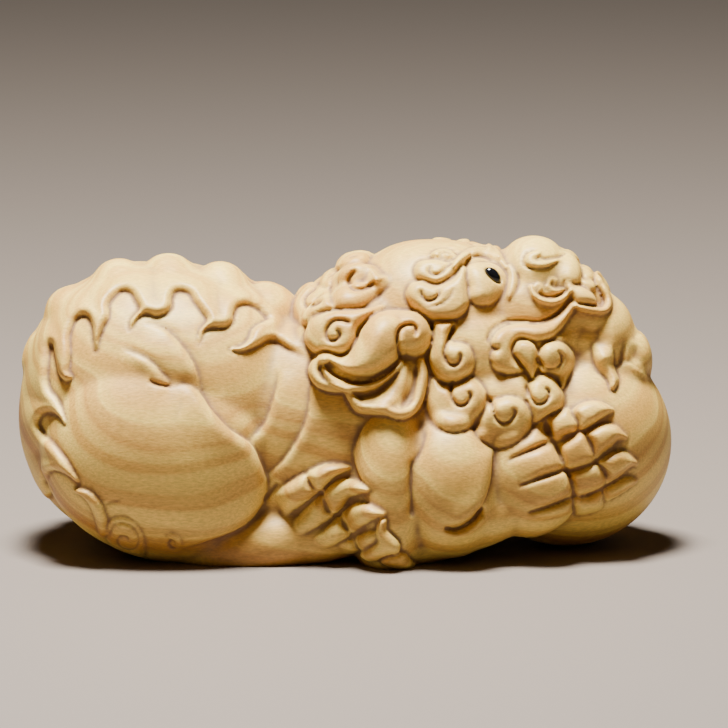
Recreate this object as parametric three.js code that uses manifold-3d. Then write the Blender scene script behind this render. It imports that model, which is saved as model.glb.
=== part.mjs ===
// A pixiu lying at rest, carved from one block of boxwood: it hugs a big round
// ball with its forepaws, its tail end is curled in, and a bead of black glass is
// let into each eye. +X runs from the rump to the ball, the side with the open
// view is -Y, +Z is up, and the origin lies under the middle of the figure.

import * as THREE from "three";
import { mergeVertices } from "three/addons/utils/BufferGeometryUtils.js";
import Module from "manifold-3d";

// Driving dimensions, in millimetres
const figureLength = 90;
const beadLength = 2.7;
const beadWidth = 1.8;
const beadThickness = 1.5;
const beadClearance = 0.3;

// The carving keeps its proportions, so forms are written in hundredths of the length
const share = figureLength / 100;

// Flank forms are placed as they are seen from the side, from slightly above
const sightLift = THREE.MathUtils.degToRad(9.5);
const sightStart = 40;
const sightStep = 0.25;
const slopeStep = 0.2;

// Facets: the sides of a carved run, and the most facets that the thinned figure keeps
const runSides = 8;
const runEnds = [0.01, 0.99];
const facetBudget = 9000;

// Thinning never turns a facet further than this cosine, and leaves none smaller than this
const leastFacing = 0.3;
const leastFacet = 1e-4;
const shortEdgeFirst = 1e-6;
const mergeDistance = 1e-4;

const woodLook = { color: 0xe0bd83, roughness: 0.45, metalness: 0 };
const beadLook = { color: 0x050506, roughness: 0.06, metalness: 0 };

// Swelling forms of the body. Each has its centre, its half sizes, a fullness (2 is
// an ellipsoid, more is squarer) and a lean in degrees. Off the middle they are pairs.
const masses = {
  back: { at: [-27, 0, 21.5], half: [22.7, 19.5, 21.7], fullness: 2.3, lean: 9, detail: 7 },
  belly: { at: [0, 0, 17], half: [24, 19, 20], fullness: 2.4, detail: 5 },
  chest: { at: [22, 0, 18], half: [18, 14, 16], fullness: 2.3, detail: 3 },
  haunch: { at: [-28, -10.5, 15.8], half: [18.2, 13, 15.8], fullness: 2.2, lean: 22, detail: 6 },
  hip: { at: [-26.5, -9, 29.5], half: [10.5, 10, 6.5], fullness: 2.2, lean: 30, detail: 4 },
  shank: { at: [-12, -12, 3], half: [14, 7.5, 5.4], fullness: 2.2, lean: -12, detail: 4 },
  heel: { at: [-30.5, -9.5, 6], half: [6.5, 8, 5.8], fullness: 2.2, detail: 3 },
  hindFoot: { at: [-2.5, -13, 4.5], half: [11, 6, 4.6], fullness: 2.2, lean: -16, detail: 3 },
  shoulder: { at: [6.8, -13.5, 11.5], half: [6.5, 10.3, 15.5], fullness: 2.1, detail: 4 },
  elbow: { at: [15.8, -13, 12], half: [8.6, 10.7, 11.5], fullness: 2.2, detail: 5 },
  foreleg: { at: [11.5, -11.5, 4.8], half: [10.5, 7.8, 5.6], fullness: 2.3, lean: -12, detail: 4 },
  palm: { at: [27.5, -12.5, 12.5], half: [7.5, 7.5, 9], fullness: 2.3, lean: -25, detail: 4 },
  wrist: { at: [21, -12.5, 7.3], half: [9, 7.5, 5.1], fullness: 2.2, lean: -22, detail: 3 },
  ball: { at: [34, 0, 16.2], half: [16.3, 16, 16.2], fullness: 2, detail: 8 },
  crown: { at: [13.6, 0, 32], half: [13.7, 13.5, 15.2], fullness: 2.5, detail: 5 },
  browBridge: { at: [22.3, 0, 41], half: [5, 8, 4.8], fullness: 2.2, detail: 3 },
  scruff: { at: [0.5, 0, 34.6], half: [6, 9, 6.8], fullness: 2.2, detail: 3 },
  maneLow: { at: [-4.2, 0, 36.4], half: [3.9, 8, 3.6], detail: 4 },
  maneHigh: { at: [-1.4, 0, 39.6], half: [2.6, 7, 2.7], detail: 4 },
  maneTop: { at: [2.1, 0, 42.3], half: [3.5, 7, 2.9], detail: 4 },
  maneSide: { at: [2, -8.5, 37.6], half: [4.3, 4, 3.7], fullness: 2.1, detail: 3 },
  mane: { at: [1.5, -8, 31.4], half: [9, 8.5, 9.5], fullness: 2.2, detail: 3 },
  cheek: { at: [18, -7.5, 30], half: [10, 8, 9], fullness: 2.2, detail: 4 },
  beard: { at: [22, -9, 23], half: [13, 8, 7.5], fullness: 2.3, detail: 3 },
  lipSide: { at: [27.5, -7, 31], half: [7.2, 6.6, 5.8], fullness: 2.2, detail: 3 },
  muzzle: { at: [27, 0, 35], half: [9.5, 10.5, 9.5], fullness: 2.4, detail: 4 },
  nose: { at: [29, 0, 42.4], half: [5.2, 8, 5.5], fullness: 2.2, detail: 4 },
  noseTip: { at: [33, 0, 41], half: [4, 7, 4.4], fullness: 2.2, detail: 3 },
  lipFront: { at: [35, 0, 37], half: [6, 8, 5.8], fullness: 2.2, detail: 3 },
  jaw: { at: [35.8, 0, 31.8], half: [8.9, 9, 8.2], fullness: 2.3, detail: 4 },
  tuft: { at: [43.4, 0, 28.6], half: [3.9, 6.5, 5], fullness: 2.2, detail: 3 },
};

// Knobs of the spine: the angles at which they sit round the back, and how deep each is sunk
const spineKnobs = {
  half: [4, 5.5, 3],
  detail: 3,
  seats: [[149, 1.5], [131, 1.5], [111, 1.5], [90, 1.5], [67, 1.1], [45, -0.2]],
};

// How a carved run is built: how far it stands out for its width, how blunt its ends
// are, and how many rings it has for each of its turns
const runTall = 1.2;
const runBlunt = 0.35;
const ringsPerTurn = 3;

// Carved runs: [across, up, half width] at each turn, as seen from the side
const runs = {
  hookLock: { spots: [[-43.5, 34.9, 1.4], [-42.9, 30.7, 1.2], [-42.6, 27.6, 0.9], [-41.2, 25.8, 0.3]] },
  rumpLock: { spots: [[-46.9, 28.4, 1.4], [-45.4, 23.8, 1.2], [-43.8, 21.6, 0.9], [-42.3, 19, 0.2]] },
  tailLock: { spots: [[-46.1, 18.4, 1.4], [-44.1, 14.8, 1.3], [-41.7, 12.7, 0.9], [-40, 9.7, 0.2]] },
  heelLock: { spots: [[-35.3, 1.5, 1.1], [-36.9, 4.5, 1.1], [-38.4, 6.8, 0.8], [-40.7, 8.6, 0.2]] },
  backLock1: { spots: [[-37.7, 38.5, 1.8], [-37.2, 34.6, 1.4], [-37.5, 32.3, 0.9], [-37.8, 30.2, 0.2]] },
  backLock2: { spots: [[-26.6, 40, 1.9], [-28.4, 36.9, 1.4], [-30.7, 35.6, 0.9], [-32.4, 33.5, 0.2]] },
  backLock3: { spots: [[-17.6, 39.4, 1.9], [-18.5, 35.3, 1.3], [-20.2, 34, 0.9], [-22.1, 31.5, 0.2]] },
  backLock4: { spots: [[-8.8, 35, 1.9], [-11.4, 32.6, 1.3], [-13.7, 31, 0.8], [-16.8, 30.2, 0.2]] },
  backLock5: { spots: [[-9.4, 34.3, 1.7], [-8.3, 31.8, 1.1], [-6.3, 29.9, 0.2]] },
  lip: {
    spots: [[34.9, 37.8, 0.5], [33.6, 35.8, 0.8], [31, 33.2, 1.1], [27.2, 32.6, 1.2], [24.4, 31.5, 1.2],
      [24.1, 29, 1.4], [25.3, 27.3, 1.1], [27.2, 26.9, 0.5]],
  },
  fang: { spots: [[27.6, 30.7, 1.2], [27.8, 28.7, 1.2], [28.7, 25.2, 0.2]] },
  nostril: {
    spots: [[29, 39.7, 0.5], [29.8, 38.3, 0.6], [31.5, 37.7, 0.6], [33.3, 38.1, 0.6], [34.7, 39, 0.5]],
  },
  noseHook: { spots: [[32.9, 43.2, 0.5], [30.2, 42.7, 0.6], [28.1, 43.4, 0.8], [28.7, 44.6, 0.5]] },
  browRidge: {
    spots: [[18.8, 41.2, 0.6], [19.4, 43.5, 0.8], [21.3, 44.3, 0.8], [23.1, 43.8, 0.6], [24.4, 42.6, 0.5]],
  },
  eyeFold: { spots: [[25.5, 42.3, 0.5], [25.8, 40.3, 0.5], [25.6, 37.7, 0.4]] },
  chinLock: { spots: [[40, 30.6, 1.3], [39.7, 28.1, 1.3], [40.9, 24.1, 0.2]] },
  chinTuft: { spots: [[45.2, 32, 0.8], [46.5, 29.4, 1.1], [47.2, 26.6, 0.9], [48, 24.6, 0.3]] },
  lowerLip: {
    spots: [[35.5, 36.7, 0.6], [38, 36.4, 0.9], [40, 36.6, 1.1], [40.6, 38.1, 0.9], [39.6, 40.1, 0.6],
      [39, 41.2, 0.3]],
  },
  tusk: { spots: [[38.3, 37.2, 1], [36.4, 38.3, 1.4], [34.9, 39.5, 1], [33.8, 40.6, 0.3]] },
};

// Creases cut into the form, written as the runs are
const creases = {
  rib1: [[-10, 23.6, 0.3], [-10.6, 22.4, 0.6], [-11.9, 19, 0.7], [-14, 16.4, 0.3]],
  rib2: [[-5.2, 24, 0.3], [-5.6, 20.5, 0.6], [-7.2, 16.5, 0.7], [-10, 12, 0.4]],
  elbowSlot: [[15.2, 2.6, 0.4], [17, 2.1, 0.9], [20, 4.2, 0.4]],
  palm1: [[26.5, 9.6, 0.3], [30, 10.6, 0.5], [34, 11.3, 0.3]],
  palm2: [[27.6, 6.2, 0.3], [30.6, 6.6, 0.5], [34.4, 7.7, 0.3]],
  haunchPit: [[-30.7, 24.6, 0.2], [-29.4, 24.9, 0.8], [-27.4, 24.7, 0.5]],
};

// The ear: a broad upper lobe curled at its tip, over a cup with a rolled rim and folds
const ear = {
  lift: 2.2,
  lobeTall: 0.9,
  cup: { at: [5, 25], half: [8.2, 4.6, 3.4], lean: -12, detail: 4 },
  lobe: [[-2.2, 28.4, 1.1], [0.5, 27.5, 1.9], [3.4, 29, 3.1], [5.4, 31.5, 3.2], [7.4, 33.3, 2.5],
    [9.9, 34.3, 1.9], [11.7, 32.3, 1.5], [10.8, 30.1, 1.4], [9.3, 31.2, 0.9]],
  rim: [[-2.6, 28.9, 0.8], [-4.6, 27.2, 0.8], [-4, 24.4, 0.9], [0.2, 23.8, 0.9], [1.9, 21.5, 0.9],
    [6.2, 20.5, 0.9], [9.4, 20.4, 0.9], [11.9, 22.8, 0.9], [12.3, 27.5, 0.9]],
  folds: [
    [[9.3, 27.6, 0.6], [6.2, 23, 0.7], [3.1, 21.3, 0.6]],
    [[10.2, 28.1, 0.6], [8.8, 23, 0.7], [8.3, 20.7, 0.6]],
  ],
};

// Curls of hair: centre, outer radius, the angle where the outer turn starts (0 is
// forward, 90 is up) and the way it winds inwards (1 is counter-clockwise)
const curls = {
  mane1: { at: [-1.5, 32.3], radius: 3.9, start: 20, winds: 1 },
  mane2: { at: [2.5, 40.1], radius: 3.4, start: -30, winds: -1 },
  mane3: { at: [-4.8, 37.7], radius: 3.1, start: -60, winds: -1 },
  mane4: { at: [1.2, 43.8], radius: 2.5, start: -20, winds: -1 },
  mane5: { at: [-2.5, 41.4], radius: 1.9, start: -20, winds: -1 },
  brow1: { at: [15.3, 44.3], radius: 2, start: -20, winds: -1 },
  brow2: { at: [13.9, 41.7], radius: 2.8, start: -20, winds: -1 },
  brow3: { at: [13.6, 37.7], radius: 4, start: 10, winds: -1 },
  cheek1: { at: [16.7, 28.9], radius: 3.9, start: 190, winds: -1 },
  cheek2: { at: [17.6, 22.2], radius: 4.4, start: 190, winds: -1 },
  beard1: { at: [24.5, 19.8], radius: 4.2, start: 190, winds: -1 },
  beard2: { at: [30.4, 23.6], radius: 2.6, start: 250, winds: -1 },
  beard3: { at: [31.9, 28.7], radius: 3.1, start: 190, winds: -1 },
  heel: { at: [-33.3, 1.6], radius: 2.3, start: 150, winds: -1 },
};
const curlTurns = 1.45;
const curlRope = { tall: 1.1, blunt: 0.7, steps: 26 };
const curlInset = 0.9;
const curlSpots = 9;
const curlButton = 0.12;
const curlBand = [0.36, 0.22];
const curlRise = [0.12, 0.46];
const curlDome = 0.36;
const curlDetail = 3;

// The three joints of a toe or finger: how wide they are for its half width, the gap that
// parts them as a share of their length, and where and how much the claw arches
const digitForm = {
  rope: { tall: 1.1, blunt: 0.8, steps: 5 },
  rootWidth: 0.8,
  knuckleWidth: 1.08,
  jointEnd: 0.95,
  gap: 0.04,
  archAt: 0.45,
  arch: 0.25,
  clawTip: 0.25,
};

// Toes and fingers: root, knuckle, root of the claw and its tip, and the half width
const forePaw = {
  lift: 0.4,
  digits: [
    [[24.1, 14.2], [30.6, 17.6], [35.2, 19.8], [41.2, 20.8], 1.6],
    [[24.8, 11.4], [32.9, 13.9], [37.5, 15.4], [43.2, 16.7], 1.7],
    [[25.6, 8], [34.3, 9.6], [39.2, 11.3], [45.1, 12.7], 1.7],
    [[26.4, 4.9], [35, 6.2], [39.4, 7.4], [44.8, 9.9], 1.4],
  ],
};
const hindPaw = {
  lift: 0.6,
  digits: [
    [[-11.7, 6], [-9.4, 6.8], [-4.6, 9.7], [0.9, 12], 1.7],
    [[-9.1, 2.9], [-6.8, 4], [-2.2, 6.6], [3.5, 8.6], 1.7],
    [[-6, -0.2], [-4, 0.9], [0.6, 3.5], [6, 5.1], 1.5],
    [[-3.4, -1.9], [-1.4, -0.9], [2.5, 0.5], [6.8, 3.7], 1.4],
  ],
};

// The eye: a lid dome on the side of the head, and the bead in it, which looks forward
// and a little up. The bead stands proud of the skin under the dome, towards the viewer.
const eye = {
  at: [21.7, 39.9],
  lid: [3, 3, 2.2],
  detail: 4,
  beadAt: [22.65, 41.2],
  beadGaze: [0.25, -2, 0.42],
  beadLean: 44,
  beadProud: 1.7,
  beadDetail: 2,
};

const wasm = await Module();
wasm.setup();

// Turns a closed three.js geometry into a solid
function solid(geometry) {
  const bare = geometry.index ? geometry.toNonIndexed() : geometry.clone();
  bare.deleteAttribute("normal");
  bare.deleteAttribute("uv");
  const merged = mergeVertices(bare, mergeDistance);
  const mesh = new wasm.Mesh({
    numProp: 3,
    vertProperties: Float32Array.from(merged.attributes.position.array),
    triVerts: Uint32Array.from(merged.index.array),
  });
  return new wasm.Manifold(mesh);
}

// The same geometry on the other side of the figure, with its faces turned back outwards
function mirrored(geometry) {
  const twin = geometry.clone().applyMatrix4(new THREE.Matrix4().makeScale(1, -1, 1));
  const order = twin.index.array;
  for (let i = 0; i < order.length; i += 3) {
    [order[i], order[i + 1]] = [order[i + 1], order[i]];
  }
  return twin;
}

function indexed(geometry) {
  const bare = geometry.clone();
  bare.deleteAttribute("normal");
  bare.deleteAttribute("uv");
  return mergeVertices(bare, mergeDistance);
}

// How far a point is from the middle of a mass: 1 on its skin, less inside
function fullnessAt(mass, point) {
  const local = point.clone().sub(new THREE.Vector3(...mass.at));
  local.applyAxisAngle(new THREE.Vector3(0, 1, 0), -THREE.MathUtils.degToRad(mass.lean ?? 0));
  const { half, fullness = 2 } = mass;
  const terms = local.toArray().map((v, axis) => Math.abs(v / half[axis]) ** fullness);
  return terms.reduce((sum, term) => sum + term, 0) ** (1 / fullness);
}

function deepest(point) {
  return Math.min(...Object.values(masses).map((mass) => fullnessAt(mass, point)));
}

function sightDirection() {
  return new THREE.Vector3(0, Math.cos(sightLift), -Math.sin(sightLift));
}

// Where a spot of the side view meets the near skin, and the skin's outward direction there
function skinAt([across, up], lift = 0) {
  const sight = sightDirection();
  const upward = new THREE.Vector3(0, Math.sin(sightLift), Math.cos(sightLift));
  const start = new THREE.Vector3(across, 0, 0).addScaledVector(upward, up);
  let reach = -sightStart;
  while (reach < 0 && deepest(start.clone().addScaledVector(sight, reach)) > 1) reach += sightStep;
  const point = start.addScaledVector(sight, reach);
  const here = deepest(point);
  const axes = [new THREE.Vector3(1, 0, 0), new THREE.Vector3(0, 1, 0), new THREE.Vector3(0, 0, 1)];
  const rises = axes.map((axis) => deepest(point.clone().addScaledVector(axis, slopeStep)) - here);
  const normal = new THREE.Vector3(...rises);
  normal.normalize();
  return { point: point.addScaledVector(normal, lift), normal };
}

// A swelling form: a ball of facets pressed to the mass's half sizes and fullness
function massGeometry({ at, half, fullness = 2, lean = 0, detail }) {
  const geometry = new THREE.IcosahedronGeometry(1, Math.round(detail));
  const spots = geometry.attributes.position;
  const spot = new THREE.Vector3();
  for (let i = 0; i < spots.count; i++) {
    spot.fromBufferAttribute(spots, i).normalize();
    const spread = spot.toArray().reduce((sum, v) => sum + Math.abs(v) ** fullness, 0);
    spot.multiplyScalar(spread ** (-1 / fullness));
    spot.multiply(new THREE.Vector3(...half));
    spots.setXYZ(i, spot.x, spot.y, spot.z);
  }
  geometry.rotateY(THREE.MathUtils.degToRad(lean));
  geometry.translate(...at);
  return indexed(geometry);
}

// Value of a list of numbers or vectors at a share t of its length
function along(list, t) {
  const place = t * (list.length - 1);
  const index = Math.min(Math.floor(place), list.length - 2);
  const rest = place - index;
  const [from, to] = [list[index], list[index + 1]];
  return typeof from === "number" ? THREE.MathUtils.lerp(from, to, rest) : from.clone().lerp(to, rest);
}

// A tapering rope on the skin: a lathed spindle bent along its route. Tall is how far it
// stands out for its width, lift how far it is set off the skin.
function ropeGeometry(spots, { lift = 0, tall = runTall, blunt = runBlunt, steps } = {}) {
  const feet = spots.map((spot) => skinAt(spot, lift + (spot[3] ?? 0)));
  const route = new THREE.CatmullRomCurve3(feet.map((foot) => foot.point));
  const normals = feet.map((foot) => foot.normal);
  const widths = spots.map((spot) => spot[2]);
  const total = route.getLength();
  const rings = steps ?? ringsPerTurn * spots.length;
  const profile = [new THREE.Vector2(0, 0)];
  for (let i = 0; i <= rings; i++) {
    const t = THREE.MathUtils.lerp(...runEnds, i / rings);
    const width = along(widths, t);
    const toEnd = Math.min(t, 1 - t) * total;
    const roundness = Math.sqrt(1 - Math.max(0, 1 - toEnd / width) ** 2);
    profile.push(new THREE.Vector2(width * Math.max(roundness, blunt), t));
  }
  profile.push(new THREE.Vector2(0, 1));
  const geometry = new THREE.LatheGeometry(profile, runSides);
  const places = geometry.attributes.position;
  for (let i = 0; i < places.count; i++) {
    const t = places.getY(i);
    const centre = route.getPoint(t);
    const forward = route.getTangent(t);
    const outward = along(normals, t);
    outward.addScaledVector(forward, -outward.dot(forward)).normalize();
    const across = new THREE.Vector3().crossVectors(forward, outward);
    centre.addScaledVector(across, places.getX(i)).addScaledVector(outward, places.getZ(i) * tall);
    places.setXYZ(i, centre.x, centre.y, centre.z);
  }
  return indexed(geometry);
}

// A curl: a rope wound into a spiral on a low dome, thinner and higher towards its middle
function curlGeometries({ at, radius, start, winds }) {
  const spots = [];
  for (let i = 0; i < curlSpots; i++) {
    const t = i / (curlSpots - 1);
    const angle = THREE.MathUtils.degToRad(start) + winds * curlTurns * 2 * Math.PI * t;
    const band = radius * THREE.MathUtils.lerp(...curlBand, t);
    const reach = THREE.MathUtils.lerp(radius - band * curlInset, radius * curlButton, t);
    const rise = radius * THREE.MathUtils.lerp(...curlRise, t);
    spots.push([at[0] + reach * Math.cos(angle), at[1] + reach * Math.sin(angle), band, rise]);
  }
  const dome = domeGeometry({ at, half: [radius, radius, radius * curlDome], detail: curlDetail });
  return [dome, ropeGeometry(spots, curlRope)];
}

// A finger or toe: its back, its middle joint and its claw are three short ropes
function digitGeometries([root, knuckle, clawRoot, tip, width], lift) {
  const { rope, rootWidth, knuckleWidth, jointEnd, gap, archAt, arch, clawTip } = digitForm;
  const between = (a, b, t, rise = 0) => [
    THREE.MathUtils.lerp(a[0], b[0], t),
    THREE.MathUtils.lerp(a[1], b[1], t) + rise,
  ];
  const back = [
    [...root, width * rootWidth],
    [...between(root, knuckle, 0.5), width],
    [...between(root, knuckle, 1 - gap), width * jointEnd],
  ];
  const joint = [
    [...between(knuckle, clawRoot, gap), width],
    [...between(knuckle, clawRoot, 0.5), width * knuckleWidth],
    [...between(knuckle, clawRoot, 1 - gap), width],
  ];
  const claw = [
    [...clawRoot, width * jointEnd],
    [...between(clawRoot, tip, archAt, width * arch), width * rootWidth],
    [...tip, clawTip],
  ];
  return [back, joint, claw].map((spots) => ropeGeometry(spots, { lift, ...rope }));
}

// Turns a form's third axis to a direction, its second as near upright as that allows
function facingBasis(direction) {
  const up = new THREE.Vector3(0, 0, 1).addScaledVector(direction, -direction.z).normalize();
  return new THREE.Matrix4().makeBasis(new THREE.Vector3().crossVectors(up, direction), up, direction);
}

// A small ellipsoid set on the skin, its third half size standing outwards
function domeGeometry({ at, half, lean = 0, detail }) {
  const foot = skinAt(at);
  const geometry = massGeometry({ at: [0, 0, 0], half, detail });
  geometry.rotateZ(THREE.MathUtils.degToRad(lean));
  geometry.applyMatrix4(facingBasis(foot.normal));
  geometry.translate(...foot.point.toArray());
  return geometry;
}

function bodyForms() {
  const middle = [];
  const near = [];
  for (const mass of Object.values(masses)) {
    (mass.at[1] === 0 ? middle : near).push(massGeometry(mass));
  }
  return { middle, near };
}

function spineForms() {
  const { at, half } = masses.back;
  const { half: knobHalf, detail, seats } = spineKnobs;
  return seats.map(([degrees, sink]) => {
    const angle = THREE.MathUtils.degToRad(degrees);
    const x = at[0] + (half[0] - sink) * Math.cos(angle);
    const z = at[2] + (half[2] - sink) * Math.sin(angle);
    return massGeometry({ at: [x, 0, z], half: knobHalf, lean: 90 - degrees, detail });
  });
}

function earForms() {
  const { lift, lobeTall, cup, lobe, rim, folds } = ear;
  return [
    domeGeometry(cup),
    ropeGeometry(lobe, { lift, tall: lobeTall }),
    ...[rim, ...folds].map((spots) => ropeGeometry(spots, { lift })),
  ];
}

function pawForms({ digits, lift }) {
  return digits.flatMap((digit) => digitGeometries(digit, lift));
}

// Bead and socket are the same flattened ball, the socket larger by the clearance
function beadGeometry(clearance) {
  const half = [beadLength, beadWidth, beadThickness].map((size) => (size / 2 + clearance) / share);
  const { point } = skinAt(eye.beadAt);
  point.addScaledVector(sightDirection(), -eye.beadProud);
  const gaze = new THREE.Vector3(...eye.beadGaze).normalize();
  const bead = massGeometry({ at: [0, 0, 0], half, detail: eye.beadDetail });
  bead.rotateZ(-THREE.MathUtils.degToRad(eye.beadLean));
  bead.applyMatrix4(facingBasis(gaze));
  bead.translate(...point.toArray());
  return bead.scale(share, share, share);
}

// Keeps the outer shell alone, so that no pocket is left sealed under the carving
function outerShell(points, corners) {
  const leader = points.map((_, i) => i);
  const find = (i) => {
    while (leader[i] !== i) i = leader[i] = leader[leader[i]];
    return i;
  };
  for (const [a, b, c] of corners) {
    leader[find(a)] = find(b);
    leader[find(b)] = find(c);
  }
  const sizes = new Map();
  for (const [a] of corners) sizes.set(find(a), (sizes.get(find(a)) ?? 0) + 1);
  const largest = [...sizes.entries()].sort((one, other) => other[1] - one[1])[0][0];
  return corners.filter(([a]) => find(a) === largest);
}

// Thins the facets: the edges whose loss changes the form least are closed up first.
// Each point carries the planes round it as the ten sums of a squared distance.
function thinned(points, corners, budget) {
  const facesOf = points.map(() => new Set());
  const sums = points.map(() => new Float64Array(10));
  const stamp = new Uint32Array(points.length);
  const [edge1, edge2, turned] = [new THREE.Vector3(), new THREE.Vector3(), new THREE.Vector3()];
  const areaNormal = (a, b, c) => turned.crossVectors(edge1.subVectors(b, a), edge2.subVectors(c, a));
  corners.forEach((face, index) => {
    face.forEach((i) => facesOf[i].add(index));
    const normal = areaNormal(...face.map((i) => points[i])).clone();
    const area = normal.length();
    normal.normalize();
    const plane = [...normal.toArray(), -normal.dot(points[face[0]])];
    let k = 0;
    for (let row = 0; row < 4; row++) {
      for (let column = row; column < 4; column++, k++) {
        for (const i of face) sums[i][k] += area * plane[row] * plane[column];
      }
    }
  });
  const neighbours = (i) => {
    const near = new Set();
    for (const face of facesOf[i]) corners[face].forEach((j) => j !== i && near.add(j));
    return near;
  };
  const costOf = (a, b, { x, y, z }) => {
    const q = sums[a].map((value, k) => value + sums[b][k]);
    return q[0] * x * x + 2 * q[1] * x * y + 2 * q[2] * x * z + 2 * q[3] * x + q[4] * y * y
      + 2 * q[5] * y * z + 2 * q[6] * y + q[7] * z * z + 2 * q[8] * z + q[9];
  };
  const heap = [];
  const push = (item) => {
    let i = heap.push(item) - 1;
    for (let up = (i - 1) >> 1; i > 0 && heap[up].cost > heap[i].cost; i = up, up = (i - 1) >> 1) {
      [heap[up], heap[i]] = [heap[i], heap[up]];
    }
  };
  const pop = () => {
    const top = heap[0];
    const last = heap.pop();
    if (heap.length === 0) return top;
    heap[0] = last;
    for (let i = 0; ;) {
      let least = i;
      for (const child of [2 * i + 1, 2 * i + 2]) {
        if (child < heap.length && heap[child].cost < heap[least].cost) least = child;
      }
      if (least === i) return top;
      [heap[i], heap[least]] = [heap[least], heap[i]];
      i = least;
    }
  };
  const offer = (a, b) => {
    const choices = [points[a], points[b], points[a].clone().lerp(points[b], 0.5)];
    const costs = choices.map((choice) => costOf(a, b, choice));
    const best = costs.indexOf(Math.min(...costs));
    const cost = costs[best] + shortEdgeFirst * points[a].distanceToSquared(points[b]);
    push({ cost, a, b, to: choices[best].clone(), stamps: stamp[a] + stamp[b] });
  };
  const keepsFacing = (i, other, to) => [...facesOf[i]].every((face) => {
    const spots = corners[face];
    if (spots.includes(other)) return true;
    const before = areaNormal(...spots.map((j) => points[j])).clone();
    const after = areaNormal(...spots.map((j) => (j === i ? to : points[j])));
    return before.dot(after) > leastFacing * before.length() * after.length() && after.length() > leastFacet;
  });
  for (const [a, b, c] of corners) {
    if (a < b) offer(a, b);
    if (b < c) offer(b, c);
    if (c < a) offer(c, a);
  }
  let left = corners.length;
  while (left > budget && heap.length > 0) {
    const { a, b, to, stamps } = pop();
    if (stamps !== stamp[a] + stamp[b] || facesOf[a].size === 0 || facesOf[b].size === 0) continue;
    const shared = [...neighbours(a)].filter((i) => neighbours(b).has(i));
    if (shared.length !== 2 || !keepsFacing(a, b, to) || !keepsFacing(b, a, to)) continue;
    points[a] = to;
    sums[b].forEach((value, k) => { sums[a][k] += value; });
    for (const face of [...facesOf[b]]) {
      const closes = corners[face].includes(a);
      if (closes) {
        corners[face].forEach((i) => facesOf[i].delete(face));
        left -= 1;
      } else {
        corners[face] = corners[face].map((i) => (i === b ? a : i));
        facesOf[a].add(face);
      }
    }
    facesOf[b].clear();
    stamp[a] += 1;
    stamp[b] += 1;
    for (const i of neighbours(a)) offer(a, i);
  }
  const kept = new Set(facesOf.flatMap((faces) => [...faces]));
  return [...kept].map((face) => corners[face]);
}

function figureSolid() {
  const { middle, near } = bodyForms();
  near.push(...earForms(), ...pawForms(forePaw), ...pawForms(hindPaw));
  near.push(domeGeometry({ at: eye.at, half: eye.lid, detail: eye.detail }));
  near.push(...Object.values(runs).map((run) => ropeGeometry(run.spots, run)));
  near.push(...Object.values(curls).flatMap(curlGeometries));
  const pieces = [...middle, ...spineForms(), ...near, ...near.map(mirrored)];
  const solids = pieces.map((piece) => solid(piece.scale(share, share, share)));
  let figure = solids.reduce((sum, next) => sum.add(next));
  for (const crease of Object.values(creases)) {
    const groove = ropeGeometry(crease, { tall: 1 }).scale(share, share, share);
    figure = figure.subtract(solid(groove)).subtract(solid(mirrored(groove)));
  }
  const ground = new THREE.BoxGeometry(2 * figureLength, 2 * figureLength, figureLength);
  ground.translate(0, 0, -figureLength / 2);
  figure = figure.subtract(solid(ground));
  const { points, corners } = meshOf(figure);
  const facets = thinned(points, outerShell(points, corners), facetBudget);
  const bead = beadGeometry(beadClearance);
  return solid(toGeometry(points, facets)).subtract(solid(bead)).subtract(solid(mirrored(bead)));
}

function meshOf(manifold) {
  const { vertProperties, triVerts, numProp } = manifold.getMesh();
  const points = [];
  for (let i = 0; i < vertProperties.length; i += numProp) {
    points.push(new THREE.Vector3().fromArray(vertProperties, i));
  }
  const corners = [];
  for (let i = 0; i < triVerts.length; i += 3) corners.push([...triVerts.subarray(i, i + 3)]);
  return { points, corners };
}

function toGeometry(points, corners) {
  const used = new Map();
  corners.flat().forEach((i) => used.has(i) || used.set(i, used.size));
  const places = [...used.keys()].flatMap((i) => points[i].toArray());
  const geometry = new THREE.BufferGeometry();
  geometry.setAttribute("position", new THREE.Float32BufferAttribute(places, 3));
  geometry.setIndex(corners.flat().map((i) => used.get(i)));
  return geometry;
}

function part(name, geometry, look) {
  const mesh = new THREE.Mesh(geometry, new THREE.MeshStandardMaterial(look));
  mesh.name = name;
  return mesh;
}

const pixiu = new THREE.Group();
const figure = meshOf(figureSolid());
pixiu.add(part("carved_figure", toGeometry(figure.points, figure.corners), woodLook));
const nearBead = beadGeometry(0);
pixiu.add(part("right_eye_bead", nearBead, beadLook));
pixiu.add(part("left_eye_bead", mirrored(nearBead), beadLook));

export default pixiu;
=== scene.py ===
import math
import bpy
import bmesh
import numpy as np
from mathutils import Matrix, Vector
from mathutils.bvhtree import BVHTree


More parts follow.
